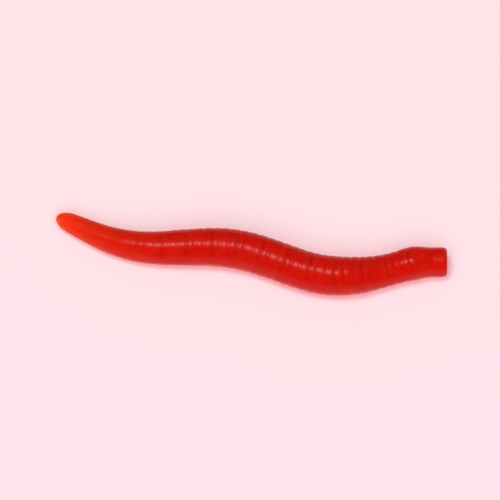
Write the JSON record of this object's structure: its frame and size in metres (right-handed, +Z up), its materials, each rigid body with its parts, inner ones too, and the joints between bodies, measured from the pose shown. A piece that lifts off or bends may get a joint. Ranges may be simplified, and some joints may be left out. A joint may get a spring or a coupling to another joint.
{
  "type": "soft plastic worm",
  "caption": "Soft, slender fishing worm with a flat blunt head, ringed body and tapering tail, moulded in a shallow wave and hinged to bend sideways and upwards all along.",
  "frame": {"origin": "on the surface that the worm lies on, under the middle of its box", "axes": "+X along the worm's longest extent towards the head, +Z up from the surface it lies on"},
  "size_m": [0.0342, 0.0062, 0.0034],
  "materials": {
    "red_plastisol": "soft gloss, translucent red flexible PVC, brighter where the worm is thin"
  },
  "bodies": {
    "head": {"head": "red_plastisol"},
    "neck": {"neck": "red_plastisol"},
    "body_section_01": {"body_section_01": "red_plastisol"},
    "body_section_02": {"body_section_02": "red_plastisol"},
    "body_section_03": {"body_section_03": "red_plastisol"},
    "body_section_04": {"body_section_04": "red_plastisol"},
    "body_section_05": {"body_section_05": "red_plastisol"},
    "body_section_06": {"body_section_06": "red_plastisol"},
    "body_section_07": {"body_section_07": "red_plastisol"},
    "body_section_08": {"body_section_08": "red_plastisol"},
    "tail_section_01": {"tail_section_01": "red_plastisol"},
    "tail_section_02": {"tail_section_02": "red_plastisol"},
    "tail_section_03": {"tail_section_03": "red_plastisol"},
    "tail_section_04": {"tail_section_04": "red_plastisol"},
    "tail_section_05": {"tail_section_05": "red_plastisol"},
    "tail_tip": {"tail_tip": "red_plastisol"}
  },
  "joints": [
    {"name": "bend_side_01", "type": "hinge", "parent": "head", "child": "neck", "pos_m": [0.01473, 0.00141, 0.0014], "axis": [0, 0, 1], "range_deg": [-30, 30], "stiffness_Nm_per_rad": 0.000136},
    {"name": "bend_up_02", "type": "hinge", "parent": "neck", "child": "body_section_01", "pos_m": [0.01272, 0.00057, 0.00139], "axis": [-0.4083, 0.9129, 0], "range_deg": [-30, 30], "stiffness_Nm_per_rad": 0.000135},
    {"name": "bend_side_03", "type": "hinge", "parent": "body_section_01", "child": "body_section_02", "pos_m": [0.01074, -0.00037, 0.0015], "axis": [0, 0, 1], "range_deg": [-30, 30], "stiffness_Nm_per_rad": 0.000181},
    {"name": "bend_up_04", "type": "hinge", "parent": "body_section_02", "child": "body_section_03", "pos_m": [0.00867, -0.00108, 0.00167], "axis": [-0.2153, 0.9765, 0], "range_deg": [-30, 30], "stiffness_Nm_per_rad": 0.000281},
    {"name": "bend_side_05", "type": "hinge", "parent": "body_section_03", "child": "body_section_04", "pos_m": [0.0065, -0.00131, 0.00171], "axis": [0, 0, 1], "range_deg": [-30, 30], "stiffness_Nm_per_rad": 0.000309},
    {"name": "bend_up_06", "type": "hinge", "parent": "body_section_04", "child": "body_section_05", "pos_m": [0.00433, -0.00107, 0.00171], "axis": [0.1638, 0.9865, 0], "range_deg": [-30, 30], "stiffness_Nm_per_rad": 0.000309},
    {"name": "bend_side_07", "type": "hinge", "parent": "body_section_05", "child": "body_section_06", "pos_m": [0.0022, -0.00059, 0.00171], "axis": [0, 0, 1], "range_deg": [-30, 30], "stiffness_Nm_per_rad": 0.000309},
    {"name": "bend_up_08", "type": "hinge", "parent": "body_section_06", "child": "body_section_07", "pos_m": [0.00005, -0.0002, 0.00171], "axis": [0.1096, 0.994, 0], "range_deg": [-30, 30], "stiffness_Nm_per_rad": 0.000309},
    {"name": "bend_side_09", "type": "hinge", "parent": "body_section_07", "child": "body_section_08", "pos_m": [-0.00214, -0.00011, 0.00169], "axis": [0, 0, 1], "range_deg": [-30, 30], "stiffness_Nm_per_rad": 0.000296},
    {"name": "bend_up_10", "type": "hinge", "parent": "body_section_08", "child": "tail_section_01", "pos_m": [-0.00431, -0.00036, 0.00162], "axis": [-0.1481, 0.989, 0], "range_deg": [-30, 30], "stiffness_Nm_per_rad": 0.000249},
    {"name": "bend_side_11", "type": "hinge", "parent": "tail_section_01", "child": "tail_section_02", "pos_m": [-0.00646, -0.00076, 0.00152], "axis": [0, 0, 1], "range_deg": [-30, 30], "stiffness_Nm_per_rad": 0.000193},
    {"name": "bend_up_12", "type": "hinge", "parent": "tail_section_02", "child": "tail_section_03", "pos_m": [-0.00863, -0.00103, 0.0014], "axis": [-0.0465, 0.9989, 0], "range_deg": [-30, 30], "stiffness_Nm_per_rad": 0.000138},
    {"name": "bend_side_13", "type": "hinge", "parent": "tail_section_03", "child": "tail_section_04", "pos_m": [-0.01081, -0.00096, 0.00126], "axis": [0, 0, 1], "range_deg": [-30, 30], "stiffness_Nm_per_rad": 0.0000903},
    {"name": "bend_up_14", "type": "hinge", "parent": "tail_section_04", "child": "tail_section_05", "pos_m": [-0.01295, -0.00051, 0.0011], "axis": [0.2664, 0.9639, 0], "range_deg": [-30, 30], "stiffness_Nm_per_rad": 0.0000529},
    {"name": "bend_side_15", "type": "hinge", "parent": "tail_section_05", "child": "tail_tip", "pos_m": [-0.01502, 0.0002, 0.00093], "axis": [0, 0, 1], "range_deg": [-30, 30], "stiffness_Nm_per_rad": 0.0000268}
  ]
}
